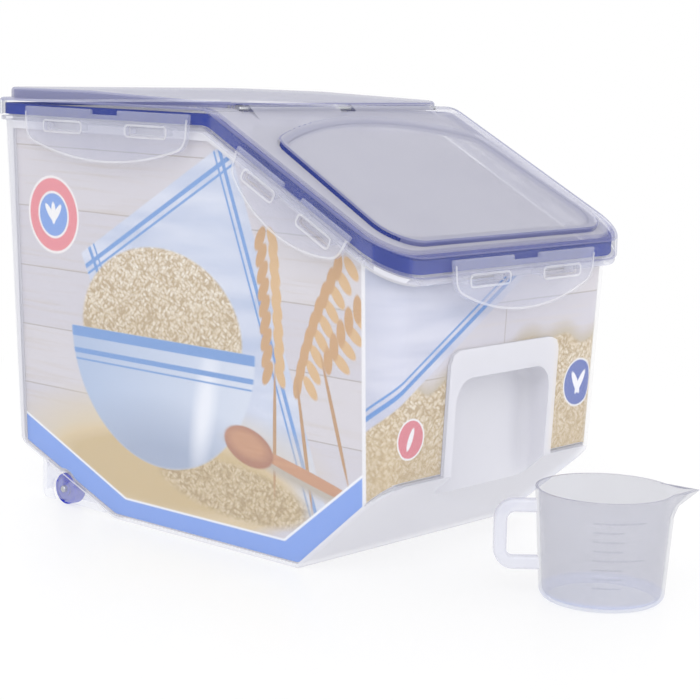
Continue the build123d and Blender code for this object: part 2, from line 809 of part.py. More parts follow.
# ---- measuring cup: drafted beaker with a pouring lip and a loop handle ----
turn = radians(cup_turn)
cup_ahead = Vector(cos(turn), sin(turn), 0)
cup_side = Plane(origin=(cup_x, cup_y, 0), x_dir=cup_ahead, z_dir=(sin(turn), -cos(turn), 0))
cup_plan = Plane(origin=(cup_x, cup_y, 0), x_dir=cup_ahead, z_dir=(0, 0, 1))


def beaker(inset, floor):
    """Turned body of the cup, drawn in by the inset."""
    with BuildPart() as body:
        with BuildSketch(cup_side) as half:
            Polygon(
                (0, floor),
                (cup_base_radius - inset, floor),
                (cup_rim_radius - inset, cup_height),
                (0, cup_height),
                align=None,
            )
            low_corner = half.vertices().group_by(Axis.Y)[0].sort_by(Axis.X)[-1]
            fillet(low_corner, radius=cup_foot_radius - inset)
        revolve(axis=Axis((cup_x, cup_y, 0), (0, 0, 1)))
    return body.part


def spout(inset):
    """Pouring lip that runs out from the cup's wall to a point."""
    tip = spout_reach - inset * spout_tip_share
    with BuildPart() as lip:
        root = (cup_rim_radius - spout_root_sink - inset, spout_root_half - inset / 2)
        belly = (cup_rim_radius + spout_belly - inset, spout_mid_half - inset)
        mouth = (tip, spout_half_width - inset)
        for step, (far, spread) in enumerate((root, belly, mouth)):
            with BuildSketch(cup_plan.offset(cup_height - spout_depth + step * spout_depth / 2)):
                Polygon(
                    (spout_start, -spread),
                    (spout_square, -spread),
                    (far, -spout_tip_half),
                    (far, spout_tip_half),
                    (spout_square, spread),
                    (spout_start, spread),
                    align=None,
                )
        loft(ruled=True)
    return lip.part


with BuildPart() as measuring_cup:
    with BuildSketch(cup_side.offset(-handle_width / 2)) as loop:
        with Locations((-handle_reach, handle_low)):
            Rectangle(
                handle_reach - cup_base_radius / 2,
                handle_high - handle_low,
                align=(Align.MIN, Align.MIN),
            )
        fillet(loop.vertices().sort_by(Axis.X)[:2], radius=handle_bend)
        with Locations((-handle_reach + handle_thick, handle_low + handle_thick)):
            RectangleRounded(
                handle_reach,
                handle_high - handle_low - 2 * handle_thick,
                handle_bend - handle_thick,
                align=(Align.MIN, Align.MIN),
                mode=Mode.SUBTRACT,
            )
    extrude(amount=handle_width)
    fillet(measuring_cup.edges().filter_by(lambda e: e.length > handle_thick), radius=handle_edge)
    add(beaker(0, 0))
    add(spout(0))
    add(beaker(cup_wall, cup_wall), mode=Mode.SUBTRACT)
    add(spout(cup_wall), mode=Mode.SUBTRACT)
measuring_cup.part.label = "measuring_cup"
export_step(measuring_cup.part, "parts/measuring_cup.step")
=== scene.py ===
import math

import bmesh
import bpy
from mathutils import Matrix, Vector


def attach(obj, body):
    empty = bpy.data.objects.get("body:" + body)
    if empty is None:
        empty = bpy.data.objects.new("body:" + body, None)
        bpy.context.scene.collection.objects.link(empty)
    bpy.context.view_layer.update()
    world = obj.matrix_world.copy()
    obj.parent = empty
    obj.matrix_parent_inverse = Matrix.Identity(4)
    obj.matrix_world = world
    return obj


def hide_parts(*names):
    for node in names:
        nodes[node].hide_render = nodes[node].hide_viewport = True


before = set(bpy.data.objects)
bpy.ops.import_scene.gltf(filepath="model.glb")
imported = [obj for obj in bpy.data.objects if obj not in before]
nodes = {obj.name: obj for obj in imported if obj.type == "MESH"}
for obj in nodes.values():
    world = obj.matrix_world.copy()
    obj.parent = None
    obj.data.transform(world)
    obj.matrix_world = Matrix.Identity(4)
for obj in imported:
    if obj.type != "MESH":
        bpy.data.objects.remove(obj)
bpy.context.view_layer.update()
mm = 0.001
print("frame loaded,", len(nodes), "nodes")


# sRGB hex to linear light
def linearColour(hexCode):
    parts = [int(hexCode[i:i + 2], 16) / 255 for i in (1, 3, 5)]
    return tuple(p / 12.92 if p <= 0.04045 else ((p + 0.055) / 1.055) ** 2.4 for p in parts) + (1.0,)


def addNode(tree, kind, feeds=(), **settings):
    made = tree.nodes.new(kind)
    for key, value in settings.items():
        setattr(made, key, value)
    for key, value in dict(feeds).items():
        if isinstance(value, bpy.types.NodeSocket):
            tree.links.new(value, made.inputs[key])
        else:
            made.inputs[key].default_value = value
    return made


def newMaterial(name):
    material = bpy.data.materials.new(name)
    material.use_nodes = True
    tree = material.node_tree
    tree.nodes.clear()
    return material, tree


# a node group with its named sockets; gives the group and what comes in
def newGroup(name, kind, inputs, output):
    group = bpy.data.node_groups.new(name, kind)
    for label, socket in inputs.items():
        group.interface.new_socket(label, in_out="INPUT", socket_type="NodeSocket" + socket)
    group.interface.new_socket(output[0], in_out="OUTPUT", socket_type="NodeSocket" + output[1])
    return group, addNode(group, "NodeGroupInput").outputs


def addObject(name, data):
    made = bpy.data.objects.new(name, data)
    bpy.context.collection.objects.link(made)
    return made


# lids: their outline from above, the depths inside it where the seal's ring stops showing, the height of the
# skirt's foot and heights over it, and the limits of a face's facing that part one zone from the next
lids = {
    "halfWide": 0.106, "halfLong": 0.165, "corner": 0.027, "ringFrom": 0.0046, "ringTo": 0.0066,
    "kink": -0.027, "slopeUp": Vector((0, -0.4570, 0.8895)), "split": -0.0325,
    "hinge": -0.0318, "hingeHalf": 0.003,
    "skirtFoot": 0.2335, "shoulder": 0.007, "skirtTop": 0.0098, "slack": 0.0002,
    "flat": 0.95, "rounded": 0.93, "steep": 0.5, "upright": 0.3, "sideways": 0.7, "cornerwise": 0.4,
}


# how far a place lies inside the lids' outline, seen from above
def insideEdgeGroup():
    group, given = newGroup("insideEdge", "ShaderNodeTree", {"Place": "Vector"}, ("Depth", "Float"))
    folded = addNode(group, "ShaderNodeVectorMath", {0: given["Place"]}, operation="ABSOLUTE")
    farUp = 10
    core = (lids["halfWide"] - lids["corner"], lids["halfLong"] - lids["corner"], farUp)
    past = addNode(group, "ShaderNodeVectorMath", {0: folded.outputs[0], 1: core}, operation="SUBTRACT")
    outside = addNode(group, "ShaderNodeVectorMath", {0: past.outputs[0], 1: (0, 0, 0)},
                      operation="MAXIMUM")
    reach = addNode(group, "ShaderNodeVectorMath", {0: outside.outputs[0]}, operation="LENGTH")
    parts = addNode(group, "ShaderNodeSeparateXYZ", {0: past.outputs[0]}).outputs
    larger = addNode(group, "ShaderNodeMath", {0: parts[0], 1: parts[1]}, operation="MAXIMUM")
    within = addNode(group, "ShaderNodeMath", {0: larger.outputs[0], 1: 0.0}, operation="MINIMUM")
    total = addNode(group, "ShaderNodeMath", {0: reach.outputs["Value"], 1: within.outputs[0]},
                    operation="ADD")
    depth = addNode(group, "ShaderNodeMath", {0: lids["corner"], 1: total.outputs[0]},
                    operation="SUBTRACT")
    addNode(group, "NodeGroupOutput", {0: depth.outputs[0]})
    return group


insideEdge = insideEdgeGroup()

# what all moulded plastics share: how far the roughness wanders, and how deep the mould grain is
mould = {"flowDetail": 2.0, "grainDetail": 1.0, "flowLow": 0.3, "flowHigh": 0.7, "wander": 0.04,
         "grainDeep": 0.00002}


# moulded plastic: pale resin with slow flow marks and a fine mould grain
def mouldedPlastic(name, look):
    material, tree = newMaterial(name)
    place = addNode(tree, "ShaderNodeTexCoord").outputs["Object"]
    flow = addNode(tree, "ShaderNodeTexNoise", {"Vector": place, "Scale": 1 / look["flowMm"] / mm,
                                                "Detail": mould["flowDetail"]}).outputs["Fac"]
    grain = addNode(tree, "ShaderNodeTexNoise", {"Vector": place, "Scale": 1 / look["grainMm"] / mm,
                                                 "Detail": mould["grainDetail"]}).outputs["Fac"]
    shade = addNode(tree, "ShaderNodeMix", {0: flow, 6: linearColour(look["colour"]),
                                            7: linearColour(look["colourTwo"])},
                    data_type="RGBA").outputs[2]
    alpha = look.get("solid", 1.0)
    # near the outline the top is clearer, so the seal shows through; it is also tinted darker lavender there,
    # painted shade for the dark edge lines
    if "ringPaintedShadeColour" in look:  # the seal's ring shows through the top near the outline
        depth = addNode(tree, "ShaderNodeGroup", {"Place": place}, node_tree=insideEdge).outputs[0]
        inner = addNode(tree, "ShaderNodeMapRange", {"Value": depth, "From Min": lids["ringFrom"],
                                                     "From Max": lids["ringTo"]}).outputs[0]
        shade = addNode(tree, "ShaderNodeMix", {0: inner, 6: linearColour(look["ringPaintedShadeColour"]), 7: shade},
                        data_type="RGBA").outputs[2]
        alpha = addNode(tree, "ShaderNodeMapRange", {"Value": inner, "To Min": look["ringSolid"],
                                                     "To Max": look["solid"]}).outputs[0]
    rough = addNode(tree, "ShaderNodeMapRange", {"Value": flow, "From Min": mould["flowLow"],
                                                 "From Max": mould["flowHigh"],
                                                 "To Min": look["roughness"] - mould["wander"],
                                                 "To Max": look["roughness"] + mould["wander"]})
    bump = addNode(tree, "ShaderNodeBump", {"Height": grain, "Strength": look["grainStrength"],
                                            "Distance": mould["grainDeep"]})
    shader = addNode(tree, "ShaderNodeBsdfPrincipled",
                     {"Base Color": shade, "Roughness": rough.outputs[0], "Normal": bump.outputs[0],
                      "IOR": look["ior"], "Specular IOR Level": look["shine"], "Alpha": alpha})
    addNode(tree, "ShaderNodeOutputMaterial", {"Surface": shader.outputs[0]})
    return material


# clear polypropylene, injection moulded: milky and satin. It hazes what lies behind it at a distance, and
# hardly what touches it, so walls with the card or a seal right behind them let more through than bare ones.
# solid is the share of the light that one face holds back
polypropylene = {"ior": 1.49, "grainMm": 0.8, "grainStrength": 0.03}
tubPlastic = polypropylene | {"flowMm": 60}
lidPlastic = polypropylene | {"flowMm": 45}
latchPlastic = polypropylene | {"flowMm": 18, "grainMm": 0.6}
cupPlastic = polypropylene | {"flowMm": 30, "grainMm": 0.6, "roughness": 0.2}
plastics = {
    "polypropyleneTub": tubPlastic | {
        "colour": "#E9E9F2", "colourTwo": "#F2F2F8", "roughness": 0.34, "shine": 0.5, "flowMm": 90,
        "solid": 0.66},
    "polypropyleneOverCard": tubPlastic | {
        "colour": "#E4E4F0", "colourTwo": "#EDEDF6", "roughness": 0.24, "shine": 0.7, "solid": 0.09},
    # rear corners: the dark blue-grey colour is painted shade for the dark edge where the clear wall turns
    # away
    "polypropyleneTubCornerPaintedShade": tubPlastic | {
        "colour": "#767CA4", "colourTwo": "#868CB2", "roughness": 0.34, "shine": 0.4, "solid": 0.28},
    "polypropyleneCollar": tubPlastic | {
        "colour": "#CDCFE4", "colourTwo": "#DADCEC", "roughness": 0.3, "shine": 0.5, "solid": 0.22},
    "polypropyleneHousing": tubPlastic | {
        "colour": "#E9ECFA", "colourTwo": "#F3F5FD", "roughness": 0.26, "shine": 0.6, "solid": 0.2},
    # lid top: the ring colour near the outline is painted shade, a darker lavender for the dark edge lines
    "polypropyleneLid": lidPlastic | {
        "colour": "#C1C1D2", "colourTwo": "#CECEDC", "roughness": 0.36, "shine": 0.4, "grainStrength": 0.04,
        "solid": 0.46, "ringSolid": 0.34, "ringPaintedShadeColour": "#8386BC"},
    "polypropyleneSkirt": lidPlastic | {
        "colour": "#D3D5EA", "colourTwo": "#E0E2F2", "roughness": 0.24, "shine": 0.7, "solid": 0.035},
    # skirt corners and hinge: the dark blue is painted shade for the dark edges and the shaded hinge notch
    "polypropyleneSkirtCornerPaintedShade": lidPlastic | {
        "colour": "#45529F", "colourTwo": "#5260AC", "roughness": 0.3, "shine": 0.4, "solid": 0.26},
    # rounded edges: the darker lavender is painted shade for the dark outlines along the lid's edges
    "polypropyleneLidEdgePaintedShade": lidPlastic | {
        "colour": "#8083B0", "colourTwo": "#9396C0", "roughness": 0.34, "shine": 0.4, "solid": 0.5},
    "polypropyleneFrame": lidPlastic | {
        "colour": "#DDDEEA", "colourTwo": "#E8E8F2", "roughness": 0.3, "shine": 0.7, "grainStrength": 0.04,
        "solid": 0.05},
    "polypropyleneLatch": latchPlastic | {
        "colour": "#C6C8DC", "colourTwo": "#D6D8E7", "roughness": 0.36, "shine": 0.45, "grainStrength": 0.06,
        "solid": 0.25},
    # flap ribs: the near-white colour is painted highlight for the light outlines of the ribs and slot frames
    "polypropyleneLatchRibPaintedHighlight": latchPlastic | {
        "colour": "#F2F2F8", "colourTwo": "#FAFAFD", "roughness": 0.28, "shine": 0.8, "grainStrength": 0.04,
        "solid": 0.36},
    "polypropyleneCup": cupPlastic | {
        "colour": "#A1A2B4", "colourTwo": "#B3B4C4", "shine": 1.0, "solid": 0.25},
    # cup rim: the darker grey-lavender is painted shade for the dark line along the rim
    "polypropyleneCupRimPaintedShade": cupPlastic | {
        "colour": "#85869C", "colourTwo": "#9B9CB0", "shine": 1.0, "solid": 0.7},
    "polypropyleneCupFloor": cupPlastic | {
        "colour": "#AEB8DF", "colourTwo": "#BEC6E8", "shine": 0.8, "solid": 0.3},
    "polypropyleneCupMark": cupPlastic | {
        "colour": "#8E90AA", "colourTwo": "#A0A2BA", "shine": 0.9, "solid": 0.12},
    "polypropyleneCupHandle": cupPlastic | {
        "colour": "#DADBE9", "colourTwo": "#E8E9F3", "shine": 0.9, "solid": 0.5},
    # silicone rubber, press moulded and dyed through: satin, even blue
    "blueSilicone": {"colour": "#0F2C8C", "colourTwo": "#17389E", "roughness": 0.6, "ior": 1.41,
                     "shine": 0.15, "flowMm": 14, "grainMm": 0.5, "grainStrength": 0.2},
    # acetal, injection moulded: smooth, saturated blue
    "blueAcetal": {"colour": "#0A1FAE", "colourTwo": "#1230C6", "roughness": 0.5, "ior": 1.48,
                   "shine": 0.2, "flowMm": 10, "grainMm": 0.5, "grainStrength": 0.06},
}
finish = {name: mouldedPlastic(name, look) for name, look in plastics.items()}

steel = {"colour": "#B9BBBE", "lines": (40, 6000, 6000), "detail": 2.0, "smooth": 0.2, "rough": 0.38}


# stainless steel wire, drawn: grey with fine lines along the wire, which lies along X
def drawnSteel():
    material, tree = newMaterial("drawnSteel")
    place = addNode(tree, "ShaderNodeTexCoord").outputs["Object"]
    along = addNode(tree, "ShaderNodeMapping", {"Vector": place, "Scale": steel["lines"]})
    lines = addNode(tree, "ShaderNodeTexNoise", {"Vector": along.outputs[0], "Scale": 1.0,
                                                 "Detail": steel["detail"]})
    rough = addNode(tree, "ShaderNodeMapRange", {"Value": lines.outputs["Fac"], "To Min": steel["smooth"],
                                                 "To Max": steel["rough"]})
    shader = addNode(tree, "ShaderNodeBsdfPrincipled",
                     {"Base Color": linearColour(steel["colour"]), "Metallic": 1.0,
                      "Roughness": rough.outputs[0]})
    addNode(tree, "ShaderNodeOutputMaterial", {"Surface": shader.outputs[0]})
    return material


finish["drawnSteel"] = drawnSteel()
print("plastics and steel made")


# shading directions in which large faces count for more, so that flat walls stay flat beside their roundings
def evenShading(mesh, corner):
    faces = mesh.polygons
    facings = [face.normal.copy() for face in faces]
    shares = [face.normal * face.area for face in faces]
    around = [[] for spot in mesh.vertices]
    for face in faces:
        for spot in face.vertices:
            around[spot].append(face.index)
    limit = math.cos(corner)
    directions = []
    for face in faces:
        own = facings[face.index]
        for spot in face.vertices:
            total = Vector()
            for other in around[spot]:
                if facings[other].dot(own) > limit:
                    total += shares[other]
            directions.append(total.normalized() if total.length > 0 else own)
    mesh.normals_split_custom_set(directions)


joining = {"points": 0.000004, "cut": 0.000001, "sharpCorner": math.radians(30)}


# a node's own shape with its points joined; cuts are planes along which its faces are parted
def joinedCopy(nodeName, name, cuts=()):
    mesh = nodes[nodeName].data.copy()
    mesh.name = name
    work = bmesh.new()
    work.from_mesh(mesh)
    bmesh.ops.remove_doubles(work, verts=work.verts, dist=joining["points"])
    for point, across in cuts:
        bmesh.ops.bisect_plane(work, geom=work.verts[:] + work.edges[:] + work.faces[:],
                               dist=joining["cut"], plane_co=point, plane_no=across)
    work.to_mesh(mesh)
    work.free()
    mesh.materials.clear()
    mesh.shade_smooth()
    mesh.set_sharp_from_angle(angle=joining["sharpCorner"])
    evenShading(mesh, joining["sharpCorner"])
    return addObject(name, mesh)


# each piece: its name, body, main material and slot
shells = {
    "tub": ("tubShell", "tub", "polypropyleneTub", "clear_plastic"),
    "main_lid": ("mainLidShell", "main_lid", "polypropyleneLid", "lid_plastic"),
    "main_gasket": ("mainGasketRing", "main_lid", "blueSilicone", "blue_silicone"),
    "hinge_pin": ("hingeRod", "main_lid", "drawnSteel", "axle_steel"),
    "flip_lid": ("flipLidShell", "flip_lid", "polypropyleneLid", "lid_plastic"),
    "flip_gasket": ("flipGasketRing", "flip_lid", "blueSilicone", "blue_silicone"),
    "rear_left_latch": ("rearLeftFlap", "rear_left_latch", "polypropyleneLatch", "latch_plastic"),
    "rear_right_latch": ("rearRightFlap", "rear_right_latch", "polypropyleneLatch", "latch_plastic"),
    "back_latch": ("backFlap", "back_latch", "polypropyleneLatch", "latch_plastic"),
    "flip_left_latch": ("flipLeftFlap", "flip_left_latch", "polypropyleneLatch", "latch_plastic"),
    "flip_right_latch": ("flipRightFlap", "flip_right_latch", "polypropyleneLatch", "latch_plastic"),
    "flip_front_latch": ("flipFrontFlap", "flip_front_latch", "polypropyleneLatch", "latch_plastic"),
    "wheel_left": ("leftWheel", "wheel_left", "blueAcetal", "blue_plastic"),
    "wheel_right": ("rightWheel", "wheel_right", "blueAcetal", "blue_plastic"),
    "wheel_axle_left": ("leftAxle", "tub", "drawnSteel", "axle_steel"),
    "wheel_axle_right": ("rightAxle", "tub", "drawnSteel", "axle_steel"),
    "measuring_cup": ("cupShell", "measuring_cup", "polypropyleneCup", "clear_plastic"),
}

# tub: the card's outline and its cut-out, the collar's reach, the rear chamfer over the wheel housings, the
# bends at the front, and the limits of a face's facing
tub = {
    "cardTop": -0.008, "cardFoot": 0.05, "cardBack": 0.14, "frontWall": -0.15,
    "cutHalf": 0.0475, "cutTop": 0.1215, "cutCorner": 0.009, "cutTurns": (22.5, 67.5),
    "collarX": 0.1024, "collarY": 0.1614, "lowestCollar": 0.14,
    "rearFloor": 0.06, "rearRise": 0.3656, "slack": 0.0005, "housingX": 0.06,
    "sideX": 0.085, "bendX": 0.07, "bendY": -0.133, "bendFoot": 0.04,
    "leaning": 0.3, "sideways": 0.98, "forward": 0.5, "cornerwise": 0.62,
}
cardTopPoint = Vector((0, lids["kink"], lids["skirtFoot"] + tub["cardTop"]))


# the upper corners of the card's cut-out, each rounded by two planes
def cutRoundings():
    planes = []
    for side in (-1, 1):
        middle = Vector((side * (tub["cutHalf"] - tub["cutCorner"]), 0, tub["cutTop"] - tub["cutCorner"]))
        for turn in tub["cutTurns"]:
            across = Vector((side * math.sin(math.radians(turn)), 0, math.cos(math.radians(turn))))
            planes.append((middle + across * tub["cutCorner"], across))
    return tuple(planes)


cutRounds = cutRoundings()
tubCuts = ((cardTopPoint, (0, 0, 1)), (cardTopPoint, lids["slopeUp"]),
           ((tub["cutHalf"], 0, 0), (1, 0, 0)), ((-tub["cutHalf"], 0, 0), (1, 0, 0)),
           ((0, 0, tub["cutTop"]), (0, 0, 1)), ((0, tub["cardBack"], 0), (0, 1, 0)),
           ((0, 0, tub["cardFoot"]), (0, 0, 1))) + cutRounds


# which faces of the tub are collar, wheel housing or rear corner, and which have the card right behind them
# the rear corner zone is painted shade: a dark blue-grey colour for the dark edges of the clear wall
def tubZone(face):
    middle, facing = face.center, face.normal
    beside, ahead = abs(middle.x), abs(middle.y)
    if middle.z > tub["lowestCollar"] and (beside > tub["collarX"] or ahead > tub["collarY"]):
        return "polypropyleneCollar"
    chamfer = (middle.y - tub["rearFloor"]) * tub["rearRise"]
    if middle.z < chamfer - tub["slack"] and beside > tub["housingX"]:
        return "polypropyleneHousing"
    if abs(facing.z) > tub["leaning"]:
        return "polypropyleneTub"
    fromTop = max((middle - cardTopPoint).z, (middle - cardTopPoint).dot(lids["slopeUp"]))
    paintedShadeCorner = min(abs(facing.x), abs(facing.y)) > tub["cornerwise"]
    if paintedShadeCorner and middle.y > 0 and middle.z > tub["bendFoot"] and fromTop < 0:
        return "polypropyleneTubCornerPaintedShade"
    onFront = middle.y < tub["frontWall"]
    inCut = beside < tub["cutHalf"] and middle.z < tub["cutTop"] and onFront
    inCut = inCut and all((middle - point).dot(across) < 0 for point, across in cutRounds)
    atSide = abs(facing.x) > tub["sideways"] and beside > tub["sideX"]
    atFront = abs(facing.y) > tub["forward"] and onFront and middle.z > tub["cardFoot"]
    atBend = beside > tub["bendX"] and middle.y < tub["bendY"] and middle.z > tub["bendFoot"]
    covered = fromTop < 0 and middle.y < tub["cardBack"] and not inCut
    return "polypropyleneOverCard" if covered and (atSide or atFront or atBend) else "polypropyleneTub"


# skirts have the seal right behind them. Rounded edges are painted darker lavender, and corners and the hinge
# dark blue: painted shade for the dark lines along the edges
def lidZone(face):
    middle, facing = face.center, face.normal
    up = lids["slopeUp"] if middle.y < lids["kink"] else Vector((0, 0, 1))
    rise = abs(facing.dot(up))
    height = (middle - Vector((0, lids["kink"], lids["skirtFoot"]))).dot(up)
    if height > lids["skirtTop"] + lids["slack"]:
        if rise > lids["flat"]:
            return "polypropyleneLid"
        if abs(facing.x) > lids["sideways"] and rise < lids["steep"] and middle.y < lids["kink"]:
            return "polypropyleneSkirt"
        paintedShadeHinge = abs(middle.y - lids["hinge"]) < lids["hingeHalf"]
        return "polypropyleneSkirtCornerPaintedShade" if paintedShadeHinge else "polypropyleneLidEdgePaintedShade"
    if min(rise, abs(facing.z)) < lids["upright"]:
        paintedShadeCorner = min(abs(facing.x), abs(facing.y)) > lids["cornerwise"]
        return "polypropyleneSkirtCornerPaintedShade" if paintedShadeCorner else "polypropyleneSkirt"
    paintedShadeEdge = rise < lids["rounded"] and height > lids["shoulder"]
    return "polypropyleneLidEdgePaintedShade" if paintedShadeEdge else "polypropyleneLid"


def mainLidZone(face):
    return "polypropyleneFrame" if face.center.y < lids["split"] else lidZone(face)


flap = {"ribX": 0.1084, "ribY": 0.1674}


# the ribs round the flap and its slots get painted highlight: a near-white colour
def flapZone(face):
    paintedHighlightRib = abs(face.center.x) > flap["ribX"] or abs(face.center.y) > flap["ribY"]
    return "polypropyleneLatchRibPaintedHighlight" if paintedHighlightRib else "polypropyleneLatch"


cup = {"place": Vector((-0.0154, -0.2337, 0)), "radius": 0.0365, "rim": 0.0572, "floor": 0.006,
       "handleTop": 0.053}


def cupZone(face):
    middle = face.center
    away = ((middle - cup["place"]) * Vector((1, 1, 0))).length
    # the rim gets painted shade: a darker colour for the dark line along it
    if middle.z > cup["rim"]:
        return "polypropyleneCupRimPaintedShade"
    if middle.z < cup["floor"]:
        return "polypropyleneCupFloor"
    onHandle = away > cup["radius"] and middle.z < cup["handleTop"] and middle.x < cup["place"].x
    return "polypropyleneCupHandle" if onHandle else "polypropyleneCup"


lidParts = ("polypropyleneSkirt", "polypropyleneLidEdgePaintedShade", "polypropyleneSkirtCornerPaintedShade")
zones = {"tubShell": (tubZone, ("polypropyleneOverCard", "polypropyleneTubCornerPaintedShade", "polypropyleneCollar",
                                "polypropyleneHousing")),
         "flipLidShell": (lidZone, lidParts),
         "mainLidShell": (mainLidZone, lidParts + ("polypropyleneFrame",)),
         "cupShell": (cupZone, ("polypropyleneCupRimPaintedShade", "polypropyleneCupFloor", "polypropyleneCupHandle"))}
for name, body, material, slot in shells.values():
    if material == "polypropyleneLatch":
        zones[name] = (flapZone, ("polypropyleneLatchRibPaintedHighlight",))
for nodeName, (name, body, material, slot) in shells.items():
    piece = joinedCopy(nodeName, name, tubCuts if nodeName == "tub" else ())
    zoneOf, others = zones.get(name, (None, ()))
    order = (material, *others)
    for part in order:
        piece.data.materials.append(finish[part])
    if zoneOf:
        for face in piece.data.polygons:
            face.material_index = order.index(zoneOf(face))
    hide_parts(nodeName)
    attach(piece, body)
print("shells, seals, flaps, wheels and cup dressed")


# the cup's measuring marks: short raised arcs, one above the other, made as curves round the drafted wall.
# Every fourth one is long. The wall's radius grows from wallLow with the height, by wallRise for each metre
marks = {"count": 8, "lowest": 0.0135, "apart": 0.0048, "wide": 0.00045,
         "wallLow": 0.0321, "wallRise": 0.0677, "start": 205, "sweep": 26, "longSweep": 46, "longEvery": 4,
         "arcPoints": 24, "profilePoints": 8}


def cupMarks():
    tree, given = newGroup("cupMarks", "GeometryNodeTree",
                           {"Count": "Int", "Apart": "Float", "Wide": "Float"}, ("Geometry", "Geometry"))
    tree.is_modifier = True
    rise = addNode(tree, "ShaderNodeCombineXYZ", {2: given["Apart"]}).outputs[0]
    upright = addNode(tree, "GeometryNodeMeshLine", {"Count": given["Count"], "Start Location": (0, 0, 0),
                                                     "Offset": rise}, mode="OFFSET")
    number = addNode(tree, "GeometryNodeInputIndex").outputs[0]
    place = addNode(tree, "GeometryNodeInputPosition").outputs[0]
    height = addNode(tree, "ShaderNodeSeparateXYZ", {0: place}).outputs[2]
    growth = addNode(tree, "ShaderNodeMath", {0: height, 1: marks["wallRise"] / marks["wallLow"], 2: 1.0},
                     operation="MULTIPLY_ADD").outputs[0]
    grown = addNode(tree, "ShaderNodeCombineXYZ", {0: growth, 1: growth, 2: 1.0}).outputs[0]
    turn = addNode(tree, "ShaderNodeMath", {0: number, 1: marks["longEvery"]}, operation="MODULO").outputs[0]
    isLong = addNode(tree, "FunctionNodeCompare", {0: turn, 1: marks["longEvery"] - 1, "Epsilon": 0.1},
                     operation="EQUAL").outputs[0]
    isShort = addNode(tree, "FunctionNodeBooleanMath", {0: isLong}, operation="NOT").outputs[0]
    joined = addNode(tree, "GeometryNodeJoinGeometry")
    for sweep, chosen in ((marks["sweep"], isShort), (marks["longSweep"], isLong)):
        arc = addNode(tree, "GeometryNodeCurveArc",
                      {"Resolution": marks["arcPoints"], "Radius": marks["wallLow"],
                       "Start Angle": math.radians(marks["start"]), "Sweep Angle": math.radians(sweep)})
        spread = addNode(tree, "GeometryNodeInstanceOnPoints",
                         {"Points": upright.outputs[0], "Instance": arc.outputs[0], "Selection": chosen,
                          "Scale": grown})
        tree.links.new(spread.outputs[0], joined.inputs[0])
    real = addNode(tree, "GeometryNodeRealizeInstances", {0: joined.outputs[0]})
    profile = addNode(tree, "GeometryNodeCurvePrimitiveCircle", {"Resolution": marks["profilePoints"],
                                                                 "Radius": given["Wide"]})
    solid = addNode(tree, "GeometryNodeCurveToMesh", {"Curve": real.outputs[0], "Fill Caps": True,
                                                      "Profile Curve": profile.outputs[0]})
    lowest = cup["place"] + Vector((0, 0, marks["lowest"]))
    moved = addNode(tree, "GeometryNodeTransform", {"Geometry": solid.outputs[0], "Translation": lowest})
    painted = addNode(tree, "GeometryNodeSetMaterial", {0: moved.outputs[0],
                                                        "Material": finish["polypropyleneCupMark"]})
    addNode(tree, "NodeGroupOutput", {0: painted.outputs[0]})

    seed = addObject("cupMarksSeed", bpy.data.meshes.new("cupMarksSeed"))
    modifier = seed.modifiers.new("marks", "NODES")
    modifier.node_group = tree
    for item in tree.interface.items_tree:
        if item.in_out == "INPUT":
            modifier[item.identifier] = marks[item.name.lower()]
    depsgraph = bpy.context.evaluated_depsgraph_get()
    mesh = bpy.data.meshes.new_from_object(seed.evaluated_get(depsgraph))
    bpy.data.objects.remove(seed)
    mesh.shade_smooth()
    piece = addObject("cupMarks", mesh)
    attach(piece, "measuring_cup")


cupMarks()
print("cup marked")

# printed card: where it bends at the front, and the limits that part its printed face from its back
card = {"bendX": 0.079, "bendY": -0.138, "bendRadius": 0.0175, "pastBend": 0.01, "level": 0.2}


# how far along the card a place lies, in metres from the middle of the front
def roundTheBend(x, y):
    side = 1.0 if x > 0 else -1.0
    if y > card["bendY"]:
        return side * (card["bendX"] + card["bendRadius"] * math.pi / 2 + y - card["bendY"])
    if abs(x) < card["bendX"]:
        return x
    turn = math.atan2(abs(x) - card["bendX"], card["bendY"] - y)
    return side * (card["bendX"] + card["bendRadius"] * turn)


# share of a place that an oval covers, with a soft outline
def ovalGroup():
    group, given = newGroup("ovalShape", "ShaderNodeTree",
                            {"Place": "Vector", "Centre": "Vector", "Radii": "Vector", "Turn": "Float",
                             "Soft": "Float"}, ("Share", "Float"))
    away = addNode(group, "ShaderNodeVectorMath", {0: given["Place"], 1: given["Centre"]},
                   operation="SUBTRACT")
    turned = addNode(group, "ShaderNodeVectorRotate", {"Vector": away.outputs[0], "Angle": given["Turn"]},
                     rotation_type="Z_AXIS")
    scaled = addNode(group, "ShaderNodeVectorMath", {0: turned.outputs[0], 1: given["Radii"]},
                     operation="DIVIDE")
    reach = addNode(group, "ShaderNodeVectorMath", {0: scaled.outputs[0]}, operation="LENGTH")
    outer = addNode(group, "ShaderNodeMath", {0: 1.0, 1: given["Soft"]}, operation="ADD")
    inner = addNode(group, "ShaderNodeMath", {0: 1.0, 1: given["Soft"]}, operation="SUBTRACT")
    share = addNode(group, "ShaderNodeMapRange", {"Value": reach.outputs["Value"],
                                                  "From Min": outer.outputs[0], "From Max": inner.outputs[0]})
    addNode(group, "NodeGroupOutput", {0: share.outputs[0]})
    return group


